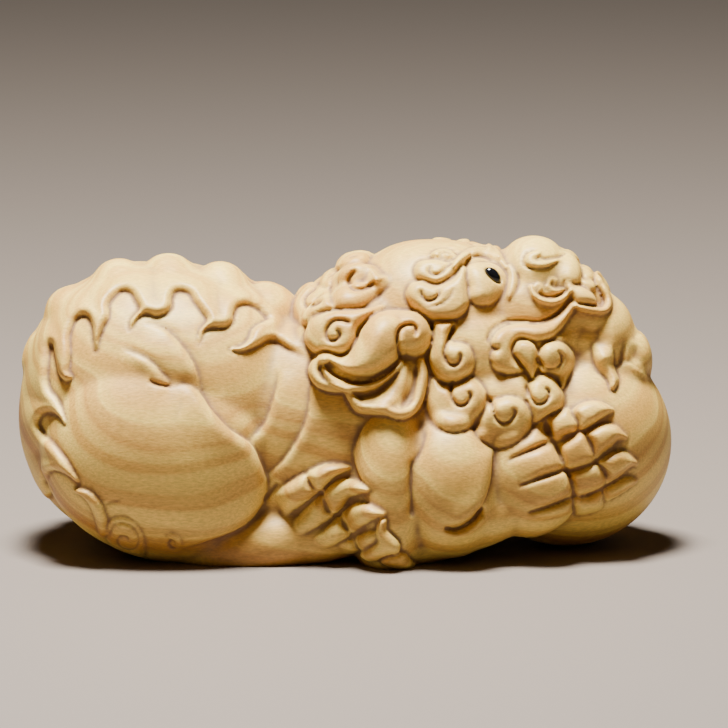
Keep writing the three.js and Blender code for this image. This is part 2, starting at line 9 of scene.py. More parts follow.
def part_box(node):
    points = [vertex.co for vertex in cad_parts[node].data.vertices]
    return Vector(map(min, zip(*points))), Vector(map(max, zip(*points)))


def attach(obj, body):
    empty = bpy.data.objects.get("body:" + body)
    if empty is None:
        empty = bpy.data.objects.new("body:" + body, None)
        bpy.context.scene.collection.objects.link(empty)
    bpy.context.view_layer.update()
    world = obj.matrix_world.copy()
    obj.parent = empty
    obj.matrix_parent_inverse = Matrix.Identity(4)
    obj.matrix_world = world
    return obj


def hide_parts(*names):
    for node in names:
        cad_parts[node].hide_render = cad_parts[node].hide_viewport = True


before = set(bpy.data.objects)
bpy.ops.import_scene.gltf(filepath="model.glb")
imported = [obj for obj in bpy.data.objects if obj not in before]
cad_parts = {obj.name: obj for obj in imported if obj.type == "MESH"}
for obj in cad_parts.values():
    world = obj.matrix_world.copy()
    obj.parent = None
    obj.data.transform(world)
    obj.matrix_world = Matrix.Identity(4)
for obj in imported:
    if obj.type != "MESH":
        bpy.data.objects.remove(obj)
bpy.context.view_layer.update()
scene = bpy.context.scene

# A lying pixiu, carved in boxwood. The carving is drawn as the camera sees it, in
# pixels of the picture, and pressed onto the body along the line of sight.
picture = {
    "size": 728,
    "figurePixels": 649,        # the figure's length in the picture
    "middle": 344.5,            # picture column of the figure's middle
    "ground": 544,              # picture row of the ground under the middle plane
    "lift": math.radians(9.5),  # how far the camera looks down
    "distance": 1.2,
    "sensor": 36.0,
    "clipStart": 0.01,
}
figureLow, figureHigh = (Vector(corner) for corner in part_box("carved_figure"))
pixel = (figureHigh.x - figureLow.x) / picture["figurePixels"]
share = (figureHigh.x - figureLow.x) / 100
sightAlong = Vector((0, math.cos(picture["lift"]), -math.sin(picture["lift"])))
sightUp = Vector((0, math.sin(picture["lift"]), math.cos(picture["lift"])))


def newObject(name, mesh):
    obj = bpy.data.objects.new(name, mesh)
    scene.collection.objects.link(obj)
    return obj


def meshFromBmesh(name, bm):
    mesh = bpy.data.meshes.new(name)
    bm.to_mesh(mesh)
    bm.free()
    return mesh


def newMaterial(name):
    material = bpy.data.materials.new(name)
    material.use_nodes = True
    return material, material.node_tree.nodes["Principled BSDF"]


# The body under the carving: voxels in metres and rounds of smoothing
finish = {
    "coreVoxel": 0.0005,
    "coreSmoothing": 6,
    "voxel": 0.0002,
    "smoothing": 3,
    "formSmoothing": 1,
    "smoothFactor": 0.5,
    "triangles": 194000,
}
# Swelling forms under the carving, in hundredths of the length: centre, half sizes,
# fullness (2 is an ellipsoid, more is squarer) and lean. Off the middle they are pairs.
masses = {
    "back": dict(at=(-27, 0, 21.5), half=(22.7, 19.5, 21.7), fullness=2.3, lean=9),
    "belly": dict(at=(0, 0, 17), half=(24, 19, 20), fullness=2.4),
    "chest": dict(at=(22, 0, 18), half=(18, 14, 16), fullness=2.3),
    "haunch": dict(at=(-28, -10.5, 15.8), half=(18.2, 13, 15.8), lean=22),
    "hip": dict(at=(-26.5, -9, 29.5), half=(10.5, 10, 6.5), lean=30),
    "shank": dict(at=(-12, -12, 3), half=(14, 7.5, 5.4), lean=-12),
    "heel": dict(at=(-30.5, -9.5, 6), half=(6.5, 8, 5.8)),
    "hindFoot": dict(at=(-2.5, -13, 4.5), half=(11, 6, 4.6), lean=-16),
    "shoulder": dict(at=(6.8, -13.5, 11.5), half=(6.5, 10.3, 15.5), fullness=2.1),
    "elbow": dict(at=(15.8, -13, 12), half=(8.6, 10.7, 11.5)),
    "foreleg": dict(at=(11.5, -11.5, 4.8), half=(10.5, 7.8, 5.6), fullness=2.3, lean=-12),
    "palm": dict(at=(27.5, -12.5, 12.5), half=(7.5, 7.5, 9), fullness=2.3, lean=-25),
    "wrist": dict(at=(21, -12.5, 7.3), half=(9, 7.5, 5.1), lean=-22),
    "ball": dict(at=(34, 0, 16.2), half=(16.3, 16, 16.2), fullness=2.0),
    "crown": dict(at=(13.6, 0, 32), half=(13.7, 13.5, 15.2), fullness=2.5),
    "browBridge": dict(at=(22.3, 0, 41), half=(5, 8, 4.8)),
    "scruff": dict(at=(0.5, 0, 34.6), half=(6, 9, 6.8)),
    "maneLow": dict(at=(-4.2, 0, 36.4), half=(3.9, 8, 3.6), fullness=2.0),
    "maneHigh": dict(at=(-1.4, 0, 39.6), half=(2.6, 7, 2.7), fullness=2.0),
    "maneTop": dict(at=(2.1, 0, 42.3), half=(3.5, 7, 2.9), fullness=2.0),
    "maneSide": dict(at=(2, -8.5, 37.6), half=(4.3, 4, 3.7), fullness=2.1),
    "mane": dict(at=(1.5, -8, 31.4), half=(9, 8.5, 9.5)),
    "cheek": dict(at=(18, -7.5, 30), half=(10, 8, 9)),
    "beard": dict(at=(22, -9, 23), half=(13, 8, 7.5), fullness=2.3),
    "lipSide": dict(at=(27.5, -7, 31), half=(7.2, 6.6, 5.8)),
    "muzzle": dict(at=(27, 0, 35), half=(9.5, 10.5, 9.5), fullness=2.4),
    "nose": dict(at=(29, 0, 42.4), half=(5.2, 8, 5.5)),
    "noseTip": dict(at=(33, 0, 41), half=(4, 7, 4.4)),
    "lipFront": dict(at=(35, 0, 37), half=(6, 8, 5.8)),
    "jaw": dict(at=(35.8, 0, 31.8), half=(8.9, 9, 8.2), fullness=2.3),
    "tuft": dict(at=(43.4, 0, 28.6), half=(3.9, 6.5, 5)),
}
# The knobs of the spine: the angles at which they sit round the back, and their sinking
spineKnobs = {
    "angles": (157, 134.5, 111.5, 90, 67, 45),
    "sinks": (1.9, 0.5, 0.9, 1.4, 1.1, -0.2),
    "half": (4, 5.5, 3),
    "fullness": 2.0,
    "subdivisions": 4,
}


def applyModifiers(obj):
    depsgraph = bpy.context.evaluated_depsgraph_get()
    mesh = bpy.data.meshes.new_from_object(obj.evaluated_get(depsgraph))
    obj.modifiers.clear()
    obj.data = mesh


def remeshed(obj, voxel, smoothing):
    remesh = obj.modifiers.new("remesh", "REMESH")
    remesh.mode = "VOXEL"
    remesh.voxel_size = voxel
    if smoothing:
        smooth = obj.modifiers.new("smooth", "SMOOTH")
        smooth.iterations = smoothing
        smooth.factor = finish["smoothFactor"]
    applyModifiers(obj)


def addSwelling(bm, at, half, fullness=2.2, lean=0.0, subdivisions=5):
    made = bmesh.ops.create_icosphere(bm, subdivisions=subdivisions, radius=1)
    for vert in made["verts"]:
        direction = vert.co.normalized()
        spread = sum(abs(part) ** fullness for part in direction)
        vert.co = direction * spread ** (-1 / fullness)
        vert.co = Vector(part * size for part, size in zip(vert.co, half))
    placing = Matrix.Translation(at) @ Matrix.Rotation(math.radians(lean), 4, "Y")
    bmesh.ops.transform(bm, matrix=placing, verts=made["verts"])


def mirrorCopy(bm):
    geometry = bm.verts[:] + bm.edges[:] + bm.faces[:]
    made = bmesh.ops.duplicate(bm, geom=geometry)["geom"]
    verts = [item for item in made if isinstance(item, bmesh.types.BMVert)]
    faces = [item for item in made if isinstance(item, bmesh.types.BMFace)]
    bmesh.ops.scale(bm, vec=(1, -1, 1), verts=verts)
    bmesh.ops.reverse_faces(bm, faces=faces)


def addSpineKnobs(bm):
    back = masses["back"]
    for degrees, sink in zip(spineKnobs["angles"], spineKnobs["sinks"]):
        angle = math.radians(degrees)
        x = back["at"][0] + (back["half"][0] - sink) * math.cos(angle)
        z = back["at"][2] + (back["half"][2] - sink) * math.sin(angle)
        addSwelling(bm, (x, 0, z), spineKnobs["half"], spineKnobs["fullness"], 90 - degrees,
                    spineKnobs["subdivisions"])


def makeCore():
    bm = bmesh.new()
    for mass in masses.values():
        if mass["at"][1] != 0:
            addSwelling(bm, **mass)
    mirrorCopy(bm)
    for mass in masses.values():
        if mass["at"][1] == 0:
            addSwelling(bm, **mass)
    addSpineKnobs(bm)
    bmesh.ops.scale(bm, vec=(share, share, share), verts=bm.verts)
    core = newObject("carvedFigure", meshFromBmesh("carvedFigure", bm))
    remeshed(core, finish["coreVoxel"], finish["coreSmoothing"])
    remeshed(core, finish["voxel"], finish["smoothing"])
    return core


# The carver's strokes: powers of their roundings, and shares of a stroke's width
strokes = {
    "edgePower": 0.75,
    "cutPower": 2,
    "patchFade": 1.5,
    "stepFade": 2,
    "hollowPower": 0.6,
    "endPower": 0.7,
    "ridgePower": 0.8,
    "ridgeFull": 3,        # half width in pixels from which a ridge has its full height
    "ridgeLeast": 0.3,
    "grooveSides": 0.6,
    "grooveCore": 0.4,
    "coreWidth": 0.45,
    "grooveTaper": 6,
    "pixelsAStep": 1.5,
}
tiny = 1e-9


def readVectors(items, field):
    values = np.empty(len(items) * 3)
    items.foreach_get(field, values)
    return values.reshape(-1, 3)


def alongSpots(spots, closed=False):
    # a smooth way through the spots, evenly stepped, that carries their other values along
    array = np.array(spots, float)
    if closed:
        padded = np.vstack([array[-1], array, array[0], array[1]])
    else:
        padded = np.vstack([2 * array[0] - array[1], array, 2 * array[-1] - array[-2]])
    out = []
    for a, b, c, d in zip(padded, padded[1:], padded[2:], padded[3:]):
        steps = max(2, int(math.ceil(np.hypot(*(c - b)[:2]) / strokes["pixelsAStep"])))
        for t in np.arange(steps) / steps:
            out.append(0.5 * (2 * b + (c - a) * t + (2 * a - 5 * b + 4 * c - d) * t ** 2
                              + (3 * b - a - 3 * c + d) * t ** 3))
    out.append(padded[-2])
    return np.array(out)


def rounded(distance, edge):
    return np.sin(np.pi / 2 * np.clip(distance / edge, 0, 1)) ** strokes["edgePower"]


def fading(distance, reach, power):
    return np.clip(1 - distance / reach, 0, 1) ** power


def tapered(along, total, taper):
    return np.clip(np.minimum(along, total - along) / taper, 0, 1) ** strokes["endPower"]


class Relief:
    # heights in pixels over the places of the wood's points in the picture
    def __init__(self, places):
        self.places = places
        self.height = np.zeros(len(places))

    def near(self, way, reach):
        low = way[:, :2].min(0) - reach
        high = way[:, :2].max(0) + reach
        return np.nonzero(np.all((self.places > low) & (self.places < high), axis=1))[0]

    def fromWay(self, way, chosen):
        # distance to the way, the distance along it, the side (right hand is positive),
        # the way's other values at the nearest spot, and the way's length
        places = self.places[chosen]
        starts, ends = way[:-1, :2], way[1:, :2]
        runs = ends - starts
        lengths = np.maximum(np.hypot(*runs.T), tiny)
        best = np.full(len(places), np.inf)
        index = np.zeros(len(places), int)
        part = np.zeros(len(places))
        for i in range(len(starts)):
            offset = places - starts[i]
            t = np.clip(offset @ runs[i] / lengths[i] ** 2, 0, 1)
            away = offset - t[:, None] * runs[i]
            distance = np.einsum("ij,ij->i", away, away)
            closer = distance < best
            best[closer] = distance[closer]
            index[closer] = i
            part[closer] = t[closer]
        offset = places - starts[index]
        side = np.sign(runs[index, 0] * offset[:, 1] - runs[index, 1] * offset[:, 0])
        along = np.concatenate([[0], np.cumsum(lengths)])
        along = along[index] + part * lengths[index]
        values = way[index, 2:] * (1 - part[:, None]) + way[index + 1, 2:] * part[:, None]
        return np.sqrt(best), along, side, values, lengths.sum()

    def inside(self, way, chosen):
        column, row = self.places[chosen].T
        within = np.zeros(len(chosen), bool)
        for (c0, r0), (c1, r1) in zip(way[:-1, :2], way[1:, :2]):
            crosses = (r0 > row) != (r1 > row)
            slope = (c1 - c0) / (r1 - r0 if r1 != r0 else tiny)
            within ^= crosses & (column < c0 + (row - r0) * slope)
        return within

    def patch(self, outline, height, edge, level=0, cut=5, cutWidth=4, fade=None, vanish=None):
        way = alongSpots(outline, closed=True)
        chosen = self.near(way, cutWidth)
        distance = self.fromWay(way, chosen)[0]
        within = self.inside(way, chosen)
        weight = np.ones(len(chosen))
        if vanish:
            start, end = np.array(vanish, float)
            run = end - start
            weight = np.clip((self.places[chosen] - start) @ run / (run @ run), 0, 1)
        sunk = cut * weight * fading(distance, cutWidth, strokes["cutPower"])
        self.height[chosen[~within]] -= sunk[~within]
        lift = rounded(distance, edge)
        if fade:
            lift = lift * fading(distance - edge, fade, strokes["patchFade"])
        raised = (level + height * lift * weight)[within]
        inner = chosen[within]
        self.height[inner] = np.maximum(self.height[inner], raised)

    def hollow(self, outline, depth, edge, power=strokes["hollowPower"]):
        way = alongSpots(outline, closed=True)
        chosen = self.near(way, 0)
        distance = self.fromWay(way, chosen)[0]
        sunk = self.inside(way, chosen) * np.clip(distance / edge, 0, 1) ** power
        self.height[chosen] -= depth * sunk

    def step(self, spots, rise, edge, fade, dip, foot, taper):
        way = alongSpots(spots)
        chosen = self.near(way, max(fade, foot))
        distance, along, side, _, total = self.fromWay(way, chosen)
        lifted = rise * rounded(distance, edge) * fading(distance, fade, strokes["stepFade"])
        lowered = -dip * fading(distance, foot, strokes["cutPower"])
        weight = tapered(along, total, taper)
        self.height[chosen] += weight * np.where(side < 0, lifted, lowered)

    def ridge(self, spots, height):
        way = alongSpots(spots)
        chosen = self.near(way, way[:, 2].max())
        distance, _, _, values, _ = self.fromWay(way, chosen)
        widths = values[:, 0]
        across = np.clip(1 - (distance / np.maximum(widths, strokes["ridgeLeast"])) ** 2, 0, 1)
        full = np.clip(widths / strokes["ridgeFull"], 0, 1)
        self.height[chosen] += height * across ** strokes["ridgePower"] * full

    def groove(self, spots, width, depth):
        way = alongSpots(spots)
        chosen = self.near(way, width)
        distance, along, _, _, total = self.fromWay(way, chosen)
        sides = strokes["grooveSides"] * fading(distance, width, strokes["cutPower"])
        core = strokes["grooveCore"] * fading(distance, strokes["coreWidth"] * width, 1)
        self.height[chosen] -= depth * tapered(along, total, strokes["grooveTaper"]) * (sides + core)


# How the strokes are pressed onto the wood: the pull towards the eye, the slope of the
# surface that takes them in full, and how far the middle stays free of the pull, in metres
pressing = {"towardEye": 2.5, "fullFacing": 0.2, "middleWidth": 0.005}


def picturePlaces(points):
    # both flanks are carved alike, so a far point takes the place of its near twin
    up = -np.abs(points[:, 1]) * sightUp.y + points[:, 2] * sightUp.z
    column = picture["middle"] + points[:, 0] / pixel
    return np.stack([column, picture["ground"] - up / pixel], axis=1)


def carve(obj, draw):
    points = readVectors(obj.data.vertices, "co")
    normals = readVectors(obj.data.vertices, "normal")
    side = np.where(points[:, 1] > 0, -1.0, 1.0)
    toEye = np.stack([0 * side, -sightAlong.y * side, np.full(len(side), -sightAlong.z)], axis=1)
    facing = np.einsum("ij,ij->i", normals, toEye)
    weight = np.clip(facing / pressing["fullFacing"], 0, 1)
    middle = np.clip(np.abs(points[:, 1]) / pressing["middleWidth"], 0, 1)
    direction = normals + toEye * (pressing["towardEye"] * middle)[:, None]
    direction /= np.linalg.norm(direction, axis=1)[:, None]
    relief = Relief(picturePlaces(points))
    draw(relief)
    points += direction * (relief.height * weight * pixel)[:, None]
    obj.data.vertices.foreach_set("co", points.ravel())
    obj.data.update()


# Edges that stand higher on the left hand side of their way: height of the rise, width
# of its rounding, how far it fades back, and depth and width of the dip at its foot
steps = {
    "haunch": dict(rise=9, edge=12, fade=44, dip=4, foot=18, taper=34, spots=[(178, 546), (192, 544),
        (210, 538.5), (234, 529.5), (254, 516), (265.5, 498), (268, 480), (261, 458), (252, 442),
        (232, 428), (214, 408.5), (203, 393), (190, 385), (176, 386)]),
    "thigh": dict(rise=6, edge=8, fade=40, dip=3, foot=9, taper=22, spots=[(176, 387), (167.5, 376),
        (154, 362), (141, 354.5), (125, 349)]),
    "hip": dict(rise=6, edge=11, fade=30, dip=3, foot=12, taper=25, spots=[(205, 396), (203, 386),
        (198.5, 368.5), (190, 353), (176, 337), (163, 328), (146, 325)]),
    "rib1": dict(rise=4, edge=9, fade=30, dip=3, foot=16, taper=16, spots=[(281, 370), (279, 384),
        (272, 408.5), (265.5, 424), (250, 442)]),
    "rib2": dict(rise=4, edge=9, fade=34, dip=3, foot=20, taper=18, spots=[(313, 370), (312, 387),
        (309, 413), (301, 435), (285.5, 458), (268, 476)]),
    "upperArm": dict(rise=5, edge=11, fade=22, dip=3, foot=16, taper=18, spots=[(374, 414), (363, 427),
        (355.5, 445), (355.5, 463), (363, 479), (376, 490)]),
    "elbow": dict(rise=7, edge=11, fade=26, dip=5, foot=14, taper=10, spots=[(448, 523), (461, 519.5),
        (475, 509.5), (483, 497), (488, 482), (490, 466), (491, 446)]),
    "ballTop": dict(rise=1, edge=3, fade=10, dip=3, foot=8, taper=12, spots=[(655, 383), (646, 376),
        (633, 367.5), (624, 362.5), (615, 370)]),
}
# Raised shapes, each with its outline, its height, the width of its rounded edge, the
# level it starts from and the depth of the cut round it; later ones lie on top
patches = {
    # the layer of locks that hangs from the spine, and turns down over the rump
    "mantle": dict(height=9, edge=7, fade=34, vanish=((308, 340), (288, 340)), outline=[(312, 354),
        (300, 353), (288, 348), (279, 343), (270, 340.5), (259, 346), (248, 350.5), (238, 351), (232, 349),
        (243, 346), (250, 339), (253, 331), (259, 325), (268, 320), (266, 316), (258, 309), (248, 305),
        (239, 307), (235.5, 314), (234, 322), (227, 327.5), (214, 328), (206, 332), (201, 343), (202, 332),
        (206, 326), (209, 320), (203, 311), (197, 303), (192, 295), (184, 292), (177, 293.5), (174.5, 300),
        (174, 307), (169, 314), (159, 316.5), (149, 314.5), (141, 319), (134, 329), (134.5, 321),
        (139, 315), (143, 310), (140, 303), (134, 294), (125, 292), (117, 298), (112, 306), (113, 316),
        (108, 327), (103.5, 339), (100.5, 351), (98, 340), (96.5, 328), (93, 319), (87, 316), (80, 320),
        (76, 328), (73.5, 338), (74.5, 352), (74, 364), (73.5, 371), (77, 377.5), (70, 380.5), (63.5, 375),
        (60.5, 365), (58.5, 354), (56, 344), (53, 350), (52, 366), (52, 380), (55, 390), (62, 398),
        (67, 409), (70.5, 424), (64, 416), (56, 412), (47, 414), (43, 423), (48, 433), (58, 442),
        (70, 456), (77, 467), (84, 481), (73, 474), (62, 469), (54, 471), (50, 480), (55, 492), (40, 505),
        (10, 500), (5, 330), (30, 280), (80, 250), (170, 235), (260, 250), (300, 270), (316, 300)]),
    "mane5": dict(height=4, edge=8, outline=[(319, 287), (321, 281), (326, 273), (335, 269), (343, 272),
        (340, 281), (334, 288), (326, 290)]),
    "mane4": dict(height=4, edge=8, outline=[(335, 267), (341, 259), (350, 254), (359, 252), (367, 253),
        (370, 257), (364, 266), (356, 269), (346, 271), (337, 271)]),
    "mane3": dict(height=9, edge=9, outline=[(293.4, 315.6), (294, 305.8), (300.4, 294.6), (308.8, 287.6),
        (318.6, 286.2), (331.9, 291.8), (334, 301.6), (337.5, 309.3), (327, 312.8), (317.2, 318.4),
        (310.2, 326), (300.4, 324), (294, 318.4)]),
    "mane2": dict(height=14, edge=17, vanish=((393, 280), (378, 282)), outline=[(333, 285), (331.5, 296),
        (333.5, 305.5), (341, 310.5), (352, 311), (363, 307), (374, 299.5), (383, 291.5), (391, 282),
        (388, 277), (382, 273), (376, 267), (366, 264.5), (352, 265), (341, 270), (335, 277)]),
    "mane2Face": dict(height=14, edge=4, cut=1, vanish=((393, 280), (378, 282)), outline=[(338, 286),
        (339, 277), (346, 270), (357, 266.5), (368, 267), (376, 271), (380, 276), (389, 279), (380, 286),
        (369, 291.5), (358, 295), (348, 294.5), (341, 292)]),
    "mane1": dict(height=11, edge=9, vanish=((388, 303), (366, 309)), outline=[(305, 340), (307, 329),
        (313, 319), (322, 314.5), (336, 311.5), (349, 311), (362, 310), (375, 307), (388, 303), (380, 311),
        (368, 319), (358, 328), (356, 338), (353, 347), (346, 354), (336, 355), (326, 353), (318, 355),
        (309, 348)]),
    "brow1": dict(height=7, edge=5, outline=[(430, 255.5), (434, 251.5), (443, 249.5), (451, 251.5),
        (454, 255.5), (459, 257), (450, 261.5), (440, 261.5), (432, 259.5)]),
    "brow2": dict(height=7, edge=7, outline=[(413.5, 272), (415, 267), (419, 262.5), (428, 260.5),
        (438, 261), (446, 263), (453, 260), (460, 255.5), (467, 253), (470, 257), (463, 266), (457, 272),
        (452, 277), (445, 282), (437, 285), (429, 284), (422, 282), (415.5, 278.5)]),
    "brow3": dict(height=11, edge=9, outline=[(405.5, 299), (406, 291), (411, 284), (419, 282),
        (425.5, 283.5), (432, 286), (438, 286), (447, 282), (455, 276), (461, 268), (464.5, 268),
        (465, 281), (466.5, 294), (468, 303), (466, 309), (461, 315.5), (453.5, 319.5), (443.5, 321),
        (433, 321), (424, 318), (416.5, 313), (410, 306.5)]),
    "eyeball": dict(height=10, edge=15, cut=4, outline=[(466, 269), (471, 264.5), (481.5, 263),
        (492, 264.5), (500, 269.5), (504, 276), (504, 284), (502, 291), (498, 298), (493, 303), (487, 306),
        (479, 306), (471.5, 303.5), (467.5, 296.5), (468, 287.5), (466, 278.5)]),
    "beard3": dict(height=11, edge=11, outline=[(473.5, 428), (474, 417), (481, 408), (488, 402),
        (498, 397.5), (507, 395.5), (517, 398), (524.5, 404.5), (529, 413.5), (530, 421), (527, 431.5),
        (519.5, 439), (509, 444), (495.5, 446.5), (485, 441.5), (477, 436)]),
    "beard2": dict(height=10, edge=10, outline=[(525, 389.5), (528, 380.5), (534, 376), (543, 374.5),
        (550.5, 377), (557, 385.5), (561, 392), (561.5, 399.5), (559.5, 407.5), (546.5, 413.5),
        (532.5, 421.5), (530, 413.5), (527.5, 404.5), (524.5, 397)]),
    "beard1": dict(height=10, edge=10, outline=[(537, 352), (541.5, 345), (549, 342), (557, 342),
        (566, 346), (572, 353.5), (573.5, 361.5), (571, 369), (566, 378), (560.5, 389), (557, 383),
        (552, 376.5), (545.5, 373), (538, 371), (536.5, 362)]),
    "cheek2": dict(height=13, edge=12, outline=[(426, 392), (425, 402), (427, 414), (434, 424),
        (444.5, 429.5), (455, 430.5), (468, 427), (477, 419), (483, 408.5), (485, 398), (483, 389),
        (476.5, 380.5), (469.5, 376.5), (461, 379), (447, 384), (434, 376), (428, 382)]),
    "cheek1": dict(height=13, edge=12, outline=[(433, 323), (432, 337), (430, 349), (428, 358), (430, 368),
        (433, 375), (439.5, 381), (451, 384), (461, 381), (469, 374), (472.5, 365), (471.5, 355),
        (467.5, 347), (460, 343), (452, 342), (449, 337), (451, 330), (454, 323), (444, 322)]),
    "earRim": dict(height=12, edge=9, outline=[(318.5, 354), (312, 361), (309.5, 370), (311, 378),
        (318, 386), (327, 390), (336, 391.5), (345, 392.5), (348, 399), (352, 406.5), (359, 412.5),
        (369.5, 414.5), (377, 413.5), (386, 415), (395, 418), (402.5, 419), (410.5, 416), (418, 410),
        (423, 400), (426, 388), (427.5, 377), (425.5, 365), (420, 350), (400, 345), (370, 355), (340, 360),
        (328, 356)]),
    "lip": dict(height=9, edge=7, outline=[(573, 299), (565, 308), (555.5, 316.5), (544, 323),
        (532.5, 325), (520, 324), (507, 325.5), (498, 329.5), (492, 336), (489.5, 342), (490.5, 346.5),
        (494, 349.3), (490, 352.5), (489.3, 361.5), (493, 369), (501, 373), (509.5, 374.2), (521.5, 371),
        (518.5, 367.5), (512.5, 359), (510, 351), (511, 345), (518.5, 338.5), (532.5, 341), (546.5, 338.5),
        (558, 331), (566, 319.5), (573, 308)]),
    "fang": dict(height=12, edge=6, outline=[(512, 347.5), (515, 342), (522.5, 340.5), (530, 343),
        (534, 348.5), (534.5, 357.5), (534, 368), (532.5, 374), (530.5, 380), (526, 373), (522, 366.5),
        (516, 359), (512, 354)]),
    "tuft": dict(height=1.5, edge=8, cut=2, outline=[(633, 338), (640, 334), (646, 341), (651, 352),
        (653, 366), (657, 384), (652, 378), (649, 366), (646, 353), (641, 343)]),
    "chinLock": dict(height=11, edge=10, vanish=((603, 344), (602, 356)), outline=[(591, 344), (591, 356),
        (592.5, 364), (596, 371), (602, 376), (605.5, 381), (607, 387), (610, 390.5), (615, 385),
        (616.5, 379), (613.5, 371), (611.5, 363), (611, 350), (606, 343), (598, 341)]),
    "noseSide": dict(height=5, edge=6, cut=4, vanish=((555, 270), (568, 270)), outline=[(560, 250),
        (570, 255), (576, 261), (580, 270), (579.5, 279), (576, 285), (568, 288), (558, 286), (553, 275),
        (553, 260)]),
    "gumTop": dict(height=4, edge=5, cut=3, outline=[(581, 266), (587, 267), (591, 272), (592, 279),
        (587, 282), (582, 279)]),
    "gumLow": dict(height=4, edge=5, cut=3, outline=[(580, 280), (586, 281), (592, 282), (595, 290),
        (590, 291), (581, 286)]),
    "flap": dict(height=8, edge=7, outline=[(563, 282), (570, 285), (577, 286.5), (585, 290), (592, 296),
        (595, 303), (591, 305), (582, 304.5), (574, 303.5), (569, 297), (565.5, 290)]),
    "earLobe": dict(height=24, edge=19, level=4, outline=[(318, 356), (326, 352), (335, 354), (341, 356),
        (347.5, 354), (353, 347), (358, 339.5), (361.5, 331), (369, 320.5), (378, 314), (388.5, 311.5),
        (401, 311), (414, 312.5), (423, 317.5), (428.5, 325.5), (430.5, 334.5), (429, 345), (423, 354),
        (415, 359), (407.5, 360), (401, 359), (395, 364.5), (382, 375.5), (372, 380.5), (361.5, 381),
        (351.5, 379), (341, 373), (334, 367), (328, 364), (322, 365)]),
}
digitCut = {"cut": 4, "cutWidth": 2.5}
digits = {
    # fore paw: the backs of the fingers, their middles and the claws
    "finger1Back": dict(height=5, edge=7, cut=2, vanish=((505, 450), (530, 437)), outline=[(498, 452),
        (512, 443), (522, 436.5), (530, 429), (539, 421), (542, 430), (547, 440), (530, 448), (512, 457)]),
    "finger2Back": dict(height=6, edge=8, cut=2, vanish=((510, 468), (538, 458)), outline=[(503, 463),
        (520, 454), (547.5, 443), (552, 447), (559.5, 459.5), (558.5, 466.5), (538.5, 474), (520, 482)]),
    "finger3Back": dict(height=6, edge=8, cut=2, vanish=((515, 496), (545, 486)), outline=[(518, 483),
        (540, 474), (556.5, 469), (563, 470.5), (568.5, 482), (569, 492), (551.5, 500), (535, 506.5),
        (519, 511)]),
    "finger4Back": dict(height=5, edge=8, cut=2, vanish=((518, 517), (548, 508)), outline=[(519, 512),
        (541, 507), (556.5, 501.5), (568, 498), (570, 505.5), (568.5, 513), (551.5, 515.5), (522, 521)]),
    "finger4": dict(height=8, edge=9, outline=[(572, 495), (586, 494), (597.5, 490), (600.5, 498),
        (599, 507), (588.5, 512), (574.5, 513.5), (571, 504)]),
    "finger3": dict(height=10, edge=9, outline=[(567.5, 472.5), (580, 466), (592, 462), (597.5, 465.5),
        (603, 475), (601.5, 483), (588.5, 490.5), (574.5, 493.5), (569, 483)]),
    "finger2": dict(height=10, edge=9, outline=[(557, 447), (563, 440), (579.5, 431.5), (586, 441.5),
        (591.5, 454.5), (590, 460), (577, 465.5), (563, 468), (559, 459.5)]),
    "finger1": dict(height=10, edge=9, outline=[(545.5, 418), (555, 411.5), (565, 407), (570, 413),
        (574.5, 421), (574, 429), (562, 434.5), (552.5, 440.5), (547, 437), (545, 426.5)]),
    "claw4": dict(height=9, edge=8, outline=[(600.5, 489), (611.5, 481), (623, 475), (629.5, 475.5),
        (635, 480), (629, 485.5), (618, 493), (607.5, 498.5), (603, 499)]),
    "claw3": dict(height=11, edge=9, outline=[(595, 461.5), (601, 455.5), (611.5, 449.5), (620.5, 449),
        (628, 454), (636, 463), (627, 466.5), (618, 474), (607.5, 480.5), (602.5, 482), (602.5, 472),
        (598.5, 465)]),
    "claw2": dict(height=11, edge=9, outline=[(582, 433.5), (591, 427), (601, 423), (611.5, 423.5),
        (618, 428.5), (625, 437.5), (615, 439.5), (607.5, 446), (598.5, 452.5), (592, 457), (588.5, 444.5),
        (585, 437)]),
    "claw1": dict(height=11, edge=9, outline=[(569.5, 408.5), (577, 403), (586, 400), (595, 400),
        (604, 403.5), (612, 409.5), (605, 414), (598.5, 418), (588.5, 424.5), (577, 429), (574.5, 421),
        (570, 413.5)]),
    # hind paw
    "toe4": dict(height=9, edge=8, vanish=((338, 547), (350, 541)), outline=[(339, 543), (354, 536),
        (359.5, 548), (346, 552)]),
    "claw8": dict(height=7, edge=7, level=2, outline=[(356, 536), (366, 529.5), (376, 528), (378, 536),
        (371, 543), (362.5, 548)]),
    "toe3": dict(height=10, edge=9, vanish=((314, 543), (330, 530)), outline=[(314, 537), (326, 526),
        (339.5, 514), (344.5, 523), (351, 531.5), (339, 540), (325, 545)]),
    "claw7": dict(height=10, edge=9, level=2, outline=[(341.5, 512.5), (352.5, 502.5), (364, 500),
        (376, 504.5), (385, 512), (372.5, 517), (362.5, 523.5), (352.5, 530.5), (346, 523)]),
    "toe2": dict(height=12, edge=10, vanish=((293, 528), (310, 514)), outline=[(294, 519.5), (306, 506),
        (322.5, 492.5), (328, 506), (334.5, 513.5), (322.5, 522), (306, 531), (295, 535)]),
    "claw6": dict(height=11, edge=9, level=3, outline=[(324, 491), (334, 481), (347.5, 476), (359, 479),
        (369, 488), (359, 492), (349, 497), (342.5, 505), (334, 511), (327.5, 503)]),
    "toe1": dict(height=12, edge=12, level=1, vanish=((275, 504), (293, 493)), outline=[(277, 493),
        (283, 485.5), (294.5, 477.5), (307.5, 471.5), (313, 481.5), (319.5, 488.5), (313, 495), (296, 507),
        (286, 513.5), (280.5, 503)]),
    "claw5": dict(height=12, edge=10, level=3, outline=[(308.5, 472), (317.5, 465), (329.5, 461.5),
        (341, 462), (351, 465.5), (342.5, 470.5), (334, 475.5), (327.5, 482), (321, 489), (312.5, 483)]),
}
